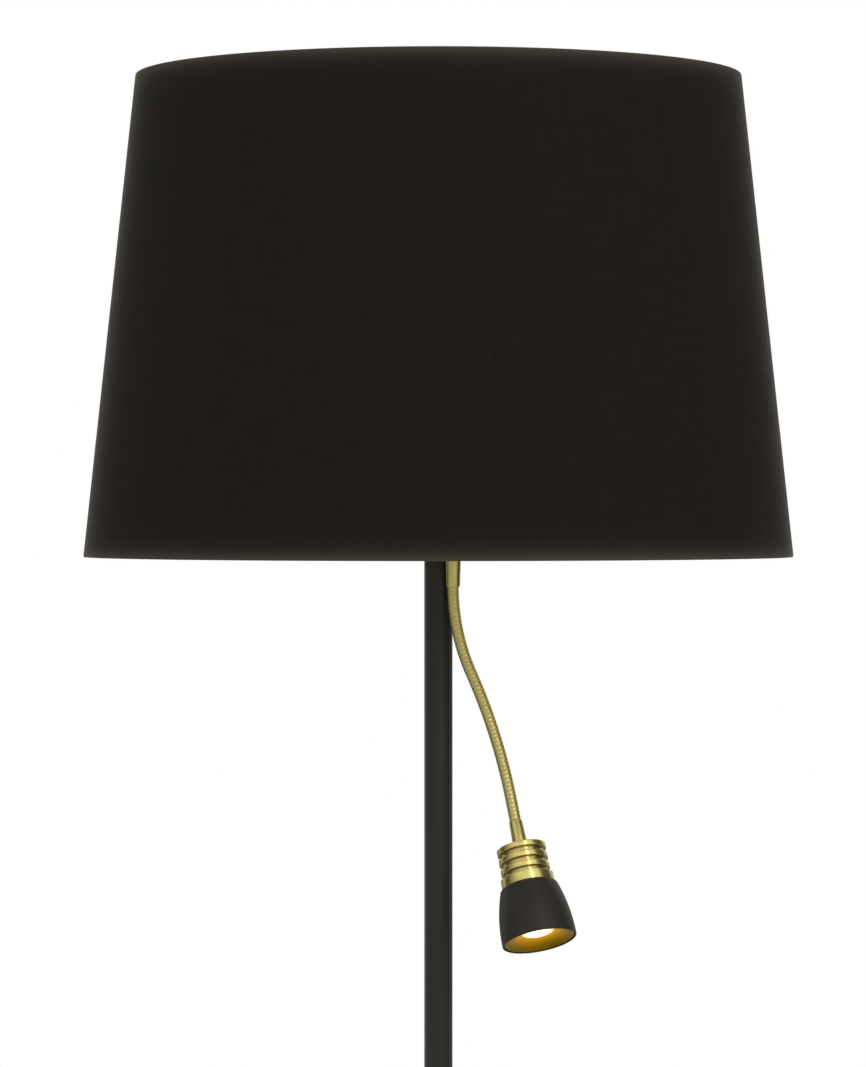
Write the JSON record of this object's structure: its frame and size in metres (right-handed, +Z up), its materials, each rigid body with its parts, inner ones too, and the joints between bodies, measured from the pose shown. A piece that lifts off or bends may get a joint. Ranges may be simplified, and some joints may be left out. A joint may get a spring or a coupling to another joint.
{
  "type": "floor lamp with reading light",
  "caption": "Free-standing floor lamp with a tapered black fabric drum shade on a slim black pole and a brass gooseneck reading light with a turned collar and a black cup.",
  "frame": {"origin": "on the floor, under the middle of the round base", "axes": "+Z up the pole, -Y to the front that the picture shows, +X to the right, where the reading light hangs"},
  "size_m": [0.45, 0.4498, 1.5],
  "materials": {
    "felt": "matte",
    "iron": "matte",
    "black_paint": "satin",
    "zinc_steel": "satin",
    "black_plastic": "satin",
    "driver_case": "matte",
    "holder_ceramic": "satin",
    "contact_brass": "satin",
    "bulb_metal": "satin",
    "opal_globe": "satin",
    "black_fabric": "matte",
    "shade_lining": "matte",
    "coated_wire": "satin",
    "satin_brass": "satin",
    "lead_cover": "satin",
    "bare_aluminium": "satin",
    "board_white": "satin",
    "light_source": "satin",
    "clear_lens": "gloss",
    "gold_reflector": "satin"
  },
  "bodies": {
    "stand": {"base_felt": "felt", "base_weight": "iron", "base_cover": "black_paint", "base_stud": "zinc_steel", "base_nut": "zinc_steel", "base_washer": "zinc_steel", "cord_gland": "black_plastic", "pole_inserts": "zinc_steel", "pole_studs": "zinc_steel", "top_stud": "zinc_steel", "housing_body": "black_paint", "housing_lid": "black_paint", "housing_nut": "zinc_steel", "led_driver": "driver_case", "switch_bodies": "black_plastic", "lampholder_cap": "black_plastic", "lampholder_skirt": "black_plastic", "lampholder_insert": "holder_ceramic", "lampholder_shell": "contact_brass", "lampholder_contact": "contact_brass", "shade_ring_nut": "black_plastic", "bulb_cap": "bulb_metal", "bulb_globe": "opal_globe", "shade_fabric": "black_fabric", "shade_liner": "shade_lining", "shade_top_ring": "coated_wire", "shade_bottom_ring": "coated_wire", "shade_spider": "coated_wire", "upper_ferrule": "satin_brass", "upper_ferrule_nut": "zinc_steel", "reading_light_lead": "lead_cover", "pole_lower": "black_paint", "pole_middle": "black_paint", "pole_upper": "black_paint", "neck_link_01": "satin_brass"},
    "shade_button": {"shade_light_button": "black_plastic"},
    "reading_button": {"reading_light_button": "black_plastic"},
    "link_02": {"neck_link_02": "satin_brass"},
    "link_03": {"neck_link_03": "satin_brass"},
    "link_04": {"neck_link_04": "satin_brass"},
    "link_05": {"neck_link_05": "satin_brass"},
    "link_06": {"neck_link_06": "satin_brass"},
    "link_07": {"neck_link_07": "satin_brass"},
    "link_08": {"neck_link_08": "satin_brass"},
    "link_09": {"neck_link_09": "satin_brass"},
    "link_10": {"neck_link_10": "satin_brass"},
    "link_11": {"neck_link_11": "satin_brass"},
    "reading_head": {"neck_link_12": "satin_brass", "lower_ferrule": "satin_brass", "head_collar": "satin_brass", "head_heat_sink": "bare_aluminium", "head_cup": "black_paint", "head_cup_ring": "zinc_steel", "led_board": "board_white", "led_emitter": "light_source", "head_lens": "clear_lens", "lens_holder": "black_plastic", "reflector": "gold_reflector"}
  },
  "joints": [
    {"name": "neck_upper_out", "type": "hinge", "parent": "stand", "child": "link_02", "pos_m": [0.0096, -0.01167, 1.16627], "axis": [-0.7798, -0.6247, -0.0408], "range_deg": [-2, 13], "deforming": ["reading_light_lead"]},
    {"name": "neck_upper_side", "type": "hinge", "parent": "link_02", "child": "link_03", "pos_m": [0.01126, -0.01223, 1.15275], "axis": [0.606, -0.7807, 0.1522], "range_deg": [-13, 13]},
    {"name": "neck_upper_out_2", "type": "hinge", "parent": "link_03", "child": "link_04", "pos_m": [0.01429, -0.01324, 1.13949], "axis": [-0.7705, -0.6173, -0.1593], "range_deg": [-2, 13]},
    {"name": "neck_upper_side_2", "type": "hinge", "parent": "link_04", "child": "link_05", "pos_m": [0.01862, -0.01467, 1.12664], "axis": [0.5365, -0.7837, 0.3129], "range_deg": [-13, 13]},
    {"name": "neck_upper_out_3", "type": "hinge", "parent": "link_05", "child": "link_06", "pos_m": [0.02392, -0.01649, 1.1142], "axis": [-0.7616, -0.6102, -0.2181], "range_deg": [-2, 13]},
    {"name": "neck_upper_side_3", "type": "hinge", "parent": "link_06", "child": "link_07", "pos_m": [0.02888, -0.01877, 1.1017], "axis": [0.5365, -0.7656, 0.355], "range_deg": [-13, 13]},
    {"name": "neck_lower_out", "type": "hinge", "parent": "link_07", "child": "link_08", "pos_m": [0.03337, -0.02151, 1.08912], "axis": [-0.7753, -0.6212, -0.1142], "range_deg": [-6, 13]},
    {"name": "neck_lower_side", "type": "hinge", "parent": "link_08", "child": "link_09", "pos_m": [0.03737, -0.02473, 1.07648], "axis": [0.5633, -0.7393, 0.369], "range_deg": [-13, 13]},
    {"name": "neck_lower_out_2", "type": "hinge", "parent": "link_09", "child": "link_10", "pos_m": [0.04088, -0.02841, 1.06383], "axis": [-0.7804, -0.6252, -0.0078], "range_deg": [-6, 13]},
    {"name": "neck_lower_side_2", "type": "hinge", "parent": "link_10", "child": "link_11", "pos_m": [0.04391, -0.03257, 1.05119], "axis": [0.592, -0.7114, 0.3788], "range_deg": [-13, 13]},
    {"name": "neck_lower_out_3", "type": "hinge", "parent": "link_11", "child": "reading_head", "pos_m": [0.0465, -0.0372, 1.03862], "axis": [-0.7775, -0.6229, 0.0863], "range_deg": [-6, 13]},
    {"name": "shade_light_press", "type": "slide", "parent": "stand", "child": "shade_button", "axis": [0, 0, 1], "range_m": [0, 0.0025], "stiffness_N_per_m": 600, "springref_m": -0.002},
    {"name": "reading_light_press", "type": "slide", "parent": "stand", "child": "reading_button", "axis": [0, 0, 1], "range_m": [0, 0.0025], "stiffness_N_per_m": 600, "springref_m": -0.002}
  ],
  "couplings": [
    {"joint": "neck_upper_out_2", "follows": "neck_upper_out", "ratio": 1},
    {"joint": "neck_upper_side_2", "follows": "neck_upper_side", "ratio": 1},
    {"joint": "neck_upper_out_3", "follows": "neck_upper_out", "ratio": 1},
    {"joint": "neck_upper_side_3", "follows": "neck_upper_side", "ratio": 1},
    {"joint": "neck_lower_out_2", "follows": "neck_lower_out", "ratio": 1},
    {"joint": "neck_lower_side_2", "follows": "neck_lower_side", "ratio": 1},
    {"joint": "neck_lower_out_3", "follows": "neck_lower_out", "ratio": 1}
  ]
}
